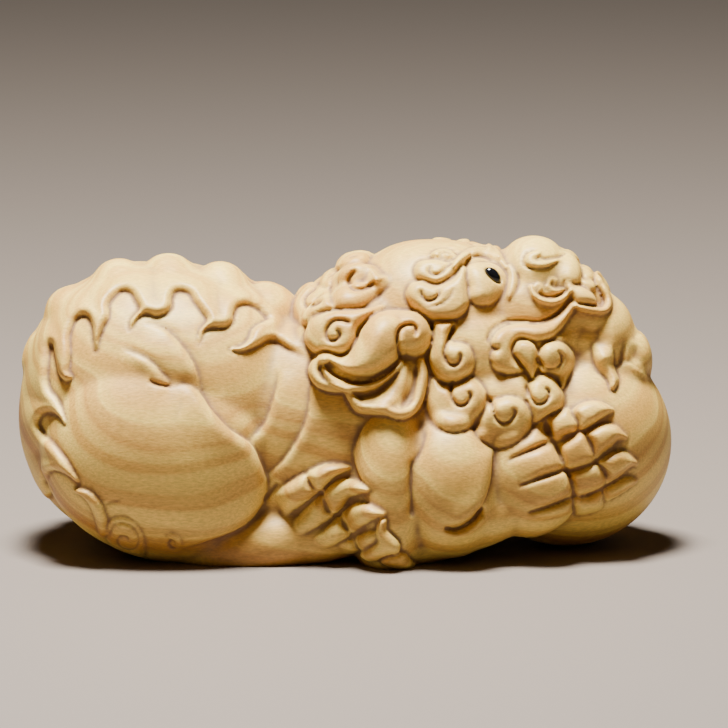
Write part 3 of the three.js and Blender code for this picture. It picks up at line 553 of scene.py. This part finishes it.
heelPatches = {
    "dewLobe": dict(height=7, edge=8, level=2, outline=[(381, 558), (400.5, 549), (410.5, 557), (415, 563),
        (407, 566.5), (394, 565)]),
    "dewClaw": dict(height=9, edge=9, level=4, outline=[(376, 530), (377, 523), (381, 515.5), (386, 517.5),
        (386, 526), (392.5, 532.5), (399.5, 541), (397.5, 548.5), (386, 552), (376, 557), (367, 557),
        (361, 551), (371, 543), (377, 538)]),
    "heelCurl": dict(height=6, edge=9, cut=2, outline=[(110, 529), (113, 520), (120, 515), (130, 515),
        (139, 521), (145, 530), (148, 543), (145, 555), (130, 553), (118, 547), (111, 539)]),
}
# Wide hollows: outline, depth and the width of the slope into each
dishes = {
    "jawSide": dict(depth=8, edge=16, power=1.2, outline=[(560, 338), (568, 320), (580, 314), (592, 315.5),
        (604, 316), (610, 322), (612, 334), (610, 346), (601, 357), (592, 365), (580, 371), (567, 367),
        (560, 352)]),
    "chinSide": dict(depth=5, edge=7, power=1, outline=[(614, 352), (618, 340), (624, 340), (626, 352),
        (622, 363), (615, 368)]),
    "tuftSide": dict(depth=6, edge=8, power=1, outline=[(625, 352), (630, 344), (637, 343), (643, 350),
        (647, 362), (650, 374), (642, 371), (633, 366), (625, 362)]),
    "mouth": dict(depth=5, edge=3, power=0.8, outline=[(594, 281), (599, 287), (603, 294), (606, 302),
        (604, 306), (597, 307), (594, 300), (592, 290)]),
}


def drawForms(relief):
    for step in steps.values():
        relief.step(**step)
    base = relief.height.copy()
    relief.height[:] = 0
    cutDigits = [dict(digitCut, **digit) for digit in digits.values()]
    for patch in (*patches.values(), *cutDigits, *heelPatches.values()):
        relief.patch(**patch)
    relief.height += base
    for dish in dishes.values():
        relief.hollow(**dish)


# Rounded ridges: column, row and half width, with the height of each
ridges = {
    "heelLock": dict(height=7, spots=[(80, 488, 2), (91, 492, 4.5), (100, 502, 6), (105, 516, 6),
        (107, 530, 5)]),
    "browRidge": dict(height=4.5, spots=[(452, 268, 2), (461, 258, 3.5), (470, 253, 4), (480, 252, 4),
        (489, 254.5, 3.5), (497, 260, 2.5)]),
    "browHorn": dict(height=4, spots=[(488, 252, 2), (493, 251, 3), (497, 256, 3), (501, 263, 2.5),
        (504, 268, 2)]),
    "eyeRidge": dict(height=3.5, spots=[(508, 268, 3), (511, 277, 4.5), (510.5, 287, 4.5), (507, 297, 3)]),
    "nostrilRim": dict(height=6, spots=[(529, 288, 2.5), (532, 296, 3), (540, 301.5, 3.5), (549, 303, 3.5),
        (557, 301, 3.5), (564, 296, 3.5), (569, 291, 2)]),
    "nostrilTop": dict(height=3, spots=[(545, 287, 2.5), (552, 291.5, 2.5), (560, 291, 2.5),
        (567, 287, 2)]),
    "nostrilCurl": dict(height=3, spots=[(533, 288, 2.5), (536, 285.5, 2.5), (539, 288, 2.5),
        (537, 291, 2)]),
    "nostrilKnob": dict(height=3, spots=[(547, 284, 2.5), (549, 280, 2.5), (553, 281, 2.5),
        (552.5, 284.5, 2)]),
    "noseComma": dict(height=4, spots=[(537, 254.5, 3), (530, 257, 4.5), (528, 262, 5), (534, 265.5, 4),
        (545, 265, 3.5), (556, 261, 2)]),
    "lowerLip": dict(height=7, spots=[(574, 306.5, 3), (583, 309.5, 3.5), (592, 311, 4), (600, 311.5, 4),
        (605.5, 308, 4.5), (606, 301, 4), (602.5, 293, 4), (598.5, 286, 3.5), (594, 277.5, 2)]),
    "innerRim": dict(height=8, spots=[(325, 369, 3), (331, 378.5, 4), (344, 385, 4.5), (356.5, 387.5, 4.5),
        (369, 385, 4.5), (382, 379, 4.5), (393, 371, 4), (400, 363, 3)]),
    "outerRim": dict(height=6, spots=[(326, 360, 4), (317, 364, 5), (314, 372, 5), (320, 382, 5),
        (332, 386.5, 5), (346, 389, 4), (353, 398, 5), (360, 406.5, 5.5), (373, 408.5, 5.5),
        (386, 409.5, 5), (398, 413, 5), (408, 411, 5), (416, 402, 5), (420, 388, 5), (422, 374, 5),
        (420, 362, 4)]),
    "earFold1": dict(height=5, spots=[(404, 367, 4), (400, 384, 7.5), (391, 396, 8.5), (378, 403, 7.5),
        (364, 404, 5)]),
    "pawHook": dict(height=3, spots=[(446, 530, 3), (456, 533, 3.5), (468, 529, 3.5), (480, 517, 3)]),
    "heelPit": dict(height=3, spots=[(174, 533, 3), (180, 536, 3), (182, 543, 2)]),
}
# Cuts of the gouge: column and row, the half width and depth of each
grooves = {
    "mane1": dict(width=6, depth=8, spots=[(352, 325), (344, 321), (335, 321), (328.5, 327),
        (326.5, 334.5), (329, 340), (335, 340.5), (339.5, 337), (338.5, 332), (335, 331)]),
    "mane2": dict(width=7, depth=9, spots=[(357, 271), (350.5, 277), (349, 284), (354, 289.5),
        (363.5, 289.5), (371, 286), (374.5, 281)]),
    "mane3": dict(width=6.5, depth=9, spots=[(324, 299), (315, 304.5), (306, 306), (305, 298), (311, 291),
        (318.6, 286)]),
    "mane4": dict(width=3, depth=3, spots=[(348, 262), (350, 258), (356, 256), (362, 258)]),
    "mane5": dict(width=3, depth=3, spots=[(326, 284), (328, 278), (334, 275)]),
    "brow1": dict(width=4, depth=6, spots=[(450, 257.5), (450.5, 254), (445, 252.5), (440.5, 254.5),
        (441.5, 257.5), (446, 257.5)]),
    "brow2": dict(width=4.5, depth=6, spots=[(430, 266), (428.5, 272), (431.5, 275.5), (437, 275.5),
        (442, 272.5), (446, 267.5), (452, 264)]),
    "brow3": dict(width=5, depth=7, spots=[(420, 289.5), (421, 296.5), (425.5, 301), (430.5, 301),
        (436, 298), (438.5, 293), (437, 289)]),
    "brow3Outer": dict(width=3.5, depth=3, spots=[(424, 305.5), (433, 307), (442, 303.5), (449, 297),
        (453, 288)]),
    "beard1": dict(width=4.5, depth=7, spots=[(533, 357), (537.5, 363), (541.5, 367.5), (547.5, 369.8),
        (554, 368.3), (558.5, 364), (559.8, 358), (558, 353.5), (554.5, 351)]),
    "beard2": dict(width=4.5, depth=7, spots=[(523, 384), (526, 392), (528.5, 398), (533.5, 402.5),
        (539, 403), (544, 400), (547, 394.5), (545.5, 389.5), (541, 387.5)]),
    "beard3": dict(width=5, depth=8, spots=[(486, 396), (489.5, 403), (491.3, 411), (494.5, 418.5),
        (500.5, 422.3), (507, 420.8), (511.5, 415.5), (512.5, 410), (509, 407.5)]),
    "cheek1": dict(width=5.5, depth=8, spots=[(453, 323.5), (451.5, 331), (447.5, 339.5), (444, 347.5),
        (443, 355), (446.5, 362.5), (452.5, 365), (458, 361.5), (459, 355), (456, 353)]),
    "cheek2": dict(width=5, depth=8, spots=[(452, 380), (449.5, 387), (449.5, 395), (452.5, 401.5),
        (457.5, 404.8), (463, 403.8), (467.5, 399.5), (468.7, 394), (465.5, 391)]),
    "heelCurl": dict(width=4, depth=4, spots=[(114, 535), (117, 524), (127, 520), (137, 525), (142, 535),
        (139, 546), (128, 547), (121, 541), (124, 534), (131, 535), (132, 540)]),
    "lobeHook": dict(width=5, depth=14, spots=[(400, 359), (398.5, 348), (397.5, 339.5), (399, 331),
        (404, 325.5), (411, 324.5), (415.5, 329), (414.5, 337)]),
    "earSlit": dict(width=4, depth=9, spots=[(325, 366), (331, 372), (341, 378), (355, 383), (369, 382.5),
        (382, 377.5), (394, 368), (400, 361)]),
    "earValley1": dict(width=9, depth=4.5, spots=[(352, 395), (365, 394.5), (379, 390), (389, 380),
        (397, 370)]),
    "earValley3": dict(width=8, depth=4.5, spots=[(414, 366), (414, 378), (411, 390), (405, 400),
        (399, 407)]),
    "lipOver": dict(width=4, depth=4, spots=[(568, 299), (560, 308.5), (549, 317), (536, 321.5),
        (520, 320.5), (505, 321.5), (494, 326.5), (487, 334), (485, 344)]),
    "nostril": dict(width=5, depth=6, spots=[(536, 293), (542, 296.5), (550, 297.5), (558, 295.5),
        (564, 291)]),
    "nosePocket": dict(width=3.5, depth=6, spots=[(538.5, 259), (546, 259.8), (556, 258), (565, 253.5)]),
    "noseHook": dict(width=3, depth=4, spots=[(534, 250.5), (525, 254), (521, 261), (524, 267.5),
        (533, 269.5), (545, 268.5), (556, 263)]),
    "browHollow": dict(width=4, depth=4, spots=[(464, 267), (467, 260.5), (474, 257.5), (483, 258),
        (492, 262)]),
    "eyeHollow": dict(width=5, depth=4, spots=[(515, 272), (517, 282), (514, 294)]),
    "palm1": dict(width=6, depth=4, spots=[(516, 484), (535, 477), (558, 470), (568, 468)]),
    "palm2": dict(width=6, depth=4, spots=[(524, 511), (544, 505), (560, 499), (571, 495)]),
    "palm3": dict(width=6, depth=3, spots=[(504, 460), (520, 452), (546, 441)]),
    "knuckles": dict(width=7, depth=4, spots=[(543, 420), (548, 432), (555, 448), (562.5, 465), (569, 481),
        (571, 496), (570.5, 512)]),
    "armCleft": dict(width=9, depth=5, spots=[(411.5, 458), (410.5, 470), (410, 485), (411, 500),
        (411, 515)]),
    "armFoldRight": dict(width=8, depth=3, spots=[(411, 462), (420, 449), (424, 436), (425, 428)]),
    "elbowSlot": dict(width=7, depth=13, spots=[(442, 525), (451, 527), (462, 524), (474, 515),
        (481, 504)]),
    "thighPit": dict(width=5, depth=6, spots=[(152, 379.5), (159, 383), (167, 385), (176, 386.5)]),
    "heelPit": dict(width=4, depth=5, spots=[(176, 536), (172, 540), (174, 545), (180, 546)]),
    "heelArch": dict(width=5, depth=2, spots=[(110, 503), (116, 500), (126, 498)]),
    "underFoot": dict(width=7, depth=4, spots=[(264, 500), (272, 490), (280, 480)]),
    "lipHollow": dict(width=5, depth=5, spots=[(597, 283), (599, 292), (601, 301), (598, 306)]),
}
eyeSocket = dict(depth=6, edge=3, outline=[
    (482.5, 270.5), (486, 268.5), (490.5, 269), (495.5, 271), (499, 275), (501, 280), (500.5, 284),
    (497, 285), (493, 284), (488.5, 280.5), (484.5, 276.5)])


def drawCuts(relief):
    for ridge in ridges.values():
        relief.ridge(**ridge)
    for groove in grooves.values():
        relief.groove(**groove)
    relief.hollow(**eyeSocket)


# Rounds of averaging and full depths, in metres, of the close and the wide hollows,
# the close ones' part, and how far a wide rise makes up for them
# the depth found darkens the wood's colour in the hollows: painted shade, standing in for the shade that
# falls there
hollows = {
    "closeRounds": 6,
    "closeDepth": 0.00003,
    "wideRounds": 60,
    "wideDepth": 0.0004,
    "closePart": 0.5,
    "wideRise": 0.3,
}


def averaged(mesh, points, rounds):
    edges = np.empty(len(mesh.edges) * 2, int)
    mesh.edges.foreach_get("vertices", edges)
    one, other = edges.reshape(-1, 2).T
    count = np.bincount(one, minlength=len(points)) + np.bincount(other, minlength=len(points))
    for _ in range(rounds):
        sums = np.stack([np.bincount(one, points[other, axis], len(points))
                         + np.bincount(other, points[one, axis], len(points))
                         for axis in range(3)], axis=1)
        points = (points + sums / np.maximum(count, 1)[:, None]) / 2
    return points


def markHollows(figure):
    # how deep each point lies in the carving round it, over two widths; the wood's colour is darkened by
    # this depth as painted shade
    mesh = figure.data
    points = readVectors(mesh.vertices, "co")
    normals = readVectors(mesh.vertices, "normal")
    close = averaged(mesh, points, hollows["closeRounds"])
    wide = averaged(mesh, close, hollows["wideRounds"])
    fine = np.einsum("ij,ij->i", close - points, normals) / hollows["closeDepth"]
    broad = np.einsum("ij,ij->i", wide - points, normals) / hollows["wideDepth"]
    fine = hollows["closePart"] * np.clip(fine, 0, 1)
    depth = np.clip(fine + np.clip(broad, -hollows["wideRise"], 1), 0, 1)
    attribute = mesh.attributes.new("hollow", "FLOAT", "POINT")
    attribute.data.foreach_set("value", depth)


def cutGround(figure):
    points = readVectors(figure.data.vertices, "co")
    points[:, 2] = np.maximum(points[:, 2], figureLow.z)
    figure.data.vertices.foreach_set("co", points.ravel())


def makeFigure():
    figure = makeCore()
    print("masses joined:", len(figure.data.vertices), "points")
    carve(figure, drawForms)
    remeshed(figure, finish["voxel"], finish["formSmoothing"])
    print("forms raised:", len(figure.data.vertices), "points")
    carve(figure, drawCuts)
    remeshed(figure, finish["voxel"], 0)
    cutGround(figure)
    markHollows(figure)
    print("fine cuts made:", len(figure.data.vertices), "points")
    thin = figure.modifiers.new("thin", "DECIMATE")
    thin.ratio = min(1, finish["triangles"] / (2 * len(figure.data.polygons)))
    applyModifiers(figure)
    figure.data.polygons.foreach_set("use_smooth", [True] * len(figure.data.polygons))
    print("figure thinned:", len(figure.data.polygons), "faces")
    return figure


class Wire:
    # a socket that can be reckoned with
    def __init__(self, tree, socket):
        self.tree = tree
        self.socket = socket

    def math(self, operation, *others, clamp=False):
        return node(self.tree, "ShaderNodeMath", {"operation": operation, "use_clamp": clamp},
                    dict(enumerate((self, *others))))["Value"]

    def __add__(self, other):
        return self.math("ADD", other)

    def __radd__(self, other):
        return self.math("ADD", other)

    def __sub__(self, other):
        return self.math("SUBTRACT", other)

    def __rsub__(self, other):
        return (self * -1) + other

    def __mul__(self, other):
        return self.math("MULTIPLY", other)

    def __rmul__(self, other):
        return self.math("MULTIPLY", other)

    def __truediv__(self, other):
        return self.math("DIVIDE", other)

    def clamped(self):
        return self.math("ADD", 0, clamp=True)


def node(tree, kind, settings, sockets):
    made = tree.nodes.new(kind)
    for name, value in settings.items():
        setattr(made, name, value)
    for name, value in sockets.items():
        if isinstance(value, Wire):
            tree.links.new(value.socket, made.inputs[name])
        else:
            made.inputs[name].default_value = value
    return {out.name: Wire(tree, out) for out in made.outputs if out.enabled}


def noise(tree, place, scale, detail, roughness=0.5):
    return node(tree, "ShaderNodeTexNoise", {},
                {"Vector": place, "Scale": scale, "Detail": detail, "Roughness": roughness})["Fac"]


def ringNoise(tree, ring, scale):
    sockets = {"W": ring, "Scale": scale, "Detail": 3, "Roughness": 0.6}
    return node(tree, "ShaderNodeTexNoise", {"noise_dimensions": "1D"}, sockets)["Fac"]


def scaled(tree, place, scale):
    return node(tree, "ShaderNodeMapping", {}, {"Vector": place, "Scale": scale})["Vector"]


def vectorMath(tree, operation, result, *values):
    return node(tree, "ShaderNodeVectorMath", {"operation": operation},
                dict(enumerate(values)))[result]


def mixColours(tree, share, first, second, blend="MIX"):
    # sockets 6 and 7 of a colour mix are its two colours
    return node(tree, "ShaderNodeMix", {"data_type": "RGBA", "blend_type": blend},
                {0: share, 6: first, 7: second})["Result"]


# Lengths are in metres. A band is a ring noise's threshold and its sharpness.
boxwoodLook = {
    "pale": (0.82, 0.555, 0.12, 1),
    "honey": (0.62, 0.34, 0.065, 1),
    "amber": (0.40, 0.155, 0.03, 1),
    "green": (0.66, 0.48, 0.085, 1),
    # painted shade: the dark brown the wood turns in its hollows, in place of the shade that falls there
    "hollow": (0.17, 0.085, 0.045, 1),
    "pith": (-0.06, 0.03, -0.025),
    "ringStretch": (0.35, 1, 1),
    "ringSpacing": 0.0036,
    "wander": 0.0035,
    "wanderScale": (16, 45, 45),
    "wideBand": (0.4, 5),
    "lateBand": (0.54, 7),
    "lateShift": 37.3,
    "lateScale": 0.8,
    "lateStrength": 0.6,
    "patchScale": 70,
    "patchBand": (0.5, 3),
    "patchStrength": 0.4,
    "grainScale": (1100, 4200, 4200),
    "fibre": 0.5,
    "paintedShadeStrength": 0.85,
    "roughness": 0.48,
    "hollowRoughness": 0.3,
    "grainRoughness": 0.1,
    "subsurface": 0.12,
    "subsurfaceRadius": (1.0, 0.5, 0.2),
    "subsurfaceScale": 0.0008,
    "specular": 0.4,
    "fibreDepth": 0.00003,
    "stippleScale": 2600,
    "stippleDepth": 0.00008,
    "bumpStrength": 0.8,
}


def woodRings(tree, place):
    # the rings lie round a pith that runs along the figure, and wander as a tree's do
    look = boxwoodLook
    wander = noise(tree, scaled(tree, place, look["wanderScale"]), 1, 2)
    fromPith = vectorMath(tree, "SUBTRACT", "Vector", place, look["pith"])
    stretched = vectorMath(tree, "MULTIPLY", "Vector", fromPith, look["ringStretch"])
    reach = vectorMath(tree, "LENGTH", "Value", stretched)
    return (reach + (wander - 0.5) * (2 * look["wander"])) / look["ringSpacing"]


def band(value, threshold, sharpness):
    return ((value - threshold) * sharpness).clamped()


def woodMaterial():
    look = boxwoodLook
    material, shader = newMaterial("boxwood")
    tree = material.node_tree
    place = node(tree, "ShaderNodeTexCoord", {}, {})["Object"]
    ring = woodRings(tree, place)
    wide = band(ringNoise(tree, ring, 1.0), *look["wideBand"])
    late = band(ringNoise(tree, ring + look["lateShift"], look["lateScale"]), *look["lateBand"])
    grain = noise(tree, scaled(tree, place, look["grainScale"]), 1, 3, 0.6)
    patchy = band(noise(tree, place, look["patchScale"], 2), *look["patchBand"])
    # the hollow depth: it paints shade into the colour, and adds roughness and stipple in the hollows
    hollow = node(tree, "ShaderNodeAttribute", {"attribute_name": "hollow"}, {})["Fac"]
    shade = 1 + (grain - 0.5) * (2 * look["fibre"])
    shadeColour = node(tree, "ShaderNodeCombineColor", {}, {0: shade, 1: shade, 2: shade})["Color"]
    colour = mixColours(tree, wide, look["pale"], look["honey"])
    colour = mixColours(tree, late * look["lateStrength"], colour, look["amber"])
    colour = mixColours(tree, patchy * look["patchStrength"], colour, look["green"])
    colour = mixColours(tree, 1, colour, shadeColour, "MULTIPLY")
    # painted shade: the colour darkens towards the hollow colour where the carving lies deep
    colour = mixColours(tree, (hollow * look["paintedShadeStrength"]).clamped(), colour, look["hollow"])
    tree.links.new(colour.socket, shader.inputs["Base Color"])
    rough = look["roughness"] + hollow * look["hollowRoughness"]
    rough = rough + (grain - 0.5) * look["grainRoughness"]
    tree.links.new(rough.socket, shader.inputs["Roughness"])
    shader.inputs["Subsurface Weight"].default_value = look["subsurface"]
    shader.inputs["Subsurface Radius"].default_value = look["subsurfaceRadius"]
    shader.inputs["Subsurface Scale"].default_value = look["subsurfaceScale"]
    shader.inputs["Specular IOR Level"].default_value = look["specular"]
    stipple = noise(tree, place, look["stippleScale"], 2, 0.6)
    height = grain * look["fibreDepth"] + stipple * hollow * look["stippleDepth"]
    bump = node(tree, "ShaderNodeBump", {},
                {"Height": height, "Strength": look["bumpStrength"], "Distance": 1.0})["Normal"]
    tree.links.new(bump.socket, shader.inputs["Normal"])
    return material


wood = woodMaterial()
figure = makeFigure()
figure.data.materials.append(wood)
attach(figure, "root")
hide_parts("carved_figure")

# The eye beads: place, half sizes and slant in the picture, the rise over the wood in pixels, and the
# way the bead looks, before the line of sight is taken from it
eyeBead = {
    "at": (490.8, 276.8),
    "half": (9.6, 6.6, 5.5),
    "slant": 44,
    "rise": 1.5,
    "outward": (0.25, -1, 0.25),
    "segments": 48,
    "rings": 32,
    "colour": (0.004, 0.004, 0.005, 1),
    "roughness": 0.05,
    "sightBack": 0.1,          # how far before the middle plane the line of sight starts
    "sightLength": 0.2,
}


def seenAt(tree, column, row):
    # where the line of sight through a spot of the picture meets the near flank
    middle = Vector(((column - picture["middle"]) * pixel, 0, 0))
    middle += sightUp * (picture["ground"] - row) * pixel
    start = middle - sightAlong * eyeBead["sightBack"]
    return tree.ray_cast(start, sightAlong, eyeBead["sightLength"])[0]


def beadPlacing(figure):
    bm = bmesh.new()
    bm.from_mesh(figure.data)
    tree = BVHTree.FromBMesh(bm)
    bm.free()
    slant = math.radians(eyeBead["slant"])
    longAxis = Vector((math.cos(slant), 0, 0)) - sightUp * math.sin(slant)
    outward = (Vector(eyeBead["outward"]) - sightAlong).normalized()
    longAxis = (longAxis - outward * longAxis.dot(outward)).normalized()
    turn = Matrix((longAxis, outward.cross(longAxis), outward)).transposed().to_4x4()
    place = seenAt(tree, *eyeBead["at"]) + outward * eyeBead["rise"] * pixel
    half = [size * pixel for size in eyeBead["half"]]
    return Matrix.Translation(place) @ turn @ Matrix.Diagonal((*half, 1))


def makeBead(name, placing, mirror):
    bm = bmesh.new()
    bmesh.ops.create_uvsphere(bm, u_segments=eyeBead["segments"], v_segments=eyeBead["rings"],
                              radius=1)
    bmesh.ops.transform(bm, matrix=placing, verts=bm.verts)
    if mirror:
        bmesh.ops.scale(bm, vec=(1, -1, 1), verts=bm.verts)
        bmesh.ops.reverse_faces(bm, faces=bm.faces)
    for face in bm.faces:
        face.smooth = True
    return newObject(name, meshFromBmesh(name, bm))


def beadMaterial():
    material, shader = newMaterial("blackGlass")
    shader.inputs["Base Color"].default_value = eyeBead["colour"]
    shader.inputs["Roughness"].default_value = eyeBead["roughness"]
    return material


blackGlass = beadMaterial()
placing = beadPlacing(figure)
for name, nodeName, mirror in (("rightBead", "right_eye_bead", False),
                               ("leftBead", "left_eye_bead", True)):
    bead = makeBead(name, placing, mirror)
    bead.data.materials.append(blackGlass)
    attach(bead, "root")
    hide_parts(nodeName)
print("beads set at", [round(part, 4) for part in placing.translation])

# The floor and the light; each lamp has its name, place, size and power
stage = {
    "floorHalf": 4,
    "floorColour": (0.2, 0.162, 0.13, 1),
    "floorRoughness": 0.6,
    "skyColour": (1.0, 0.9, 0.78, 1),
    "skyStrength": 0.02,
    "lights": (("key", (-0.04, -0.03, 0.5), 0.14, 13.0), ("fill", (0.5, -0.5, 0.25), 0.4, 0.05)),
    "lightsAim": (0, 0, 0.02),
}


def makeStage():
    bm = bmesh.new()
    bmesh.ops.create_grid(bm, x_segments=1, y_segments=1, size=stage["floorHalf"])
    floor = newObject("floor", meshFromBmesh("floor", bm))
    material, shader = newMaterial("paleFloor")
    shader.inputs["Base Color"].default_value = stage["floorColour"]
    shader.inputs["Roughness"].default_value = stage["floorRoughness"]
    floor.data.materials.append(material)
    world = bpy.data.worlds.new("studio")
    scene.world = world
    world.use_nodes = True
    background = world.node_tree.nodes["Background"]
    background.inputs["Color"].default_value = stage["skyColour"]
    background.inputs["Strength"].default_value = stage["skyStrength"]
    for name, place, size, power in stage["lights"]:
        light = bpy.data.lights.new(name, "AREA")
        light.size = size
        light.energy = power
        lamp = newObject(name, light)
        lamp.location = place
        aim = Vector(stage["lightsAim"]) - Vector(place)
        lamp.rotation_euler = aim.to_track_quat("-Z", "Y").to_euler()


def makeCamera():
    data = bpy.data.cameras.new("camera")
    data.sensor_width = picture["sensor"]
    data.lens = picture["sensor"] * picture["distance"] / (picture["size"] * pixel)
    data.clip_start = picture["clipStart"]
    camera = newObject("camera", data)
    aim = Vector(((picture["size"] / 2 - picture["middle"]) * pixel, 0, 0))
    aim += sightUp * (picture["ground"] - picture["size"] / 2) * pixel
    camera.location = aim - sightAlong * picture["distance"]
    camera.rotation_euler = sightAlong.to_track_quat("-Z", "Y").to_euler()
    scene.camera = camera


makeStage()
makeCamera()
print("stage set:", len(stage["lights"]), "lights")
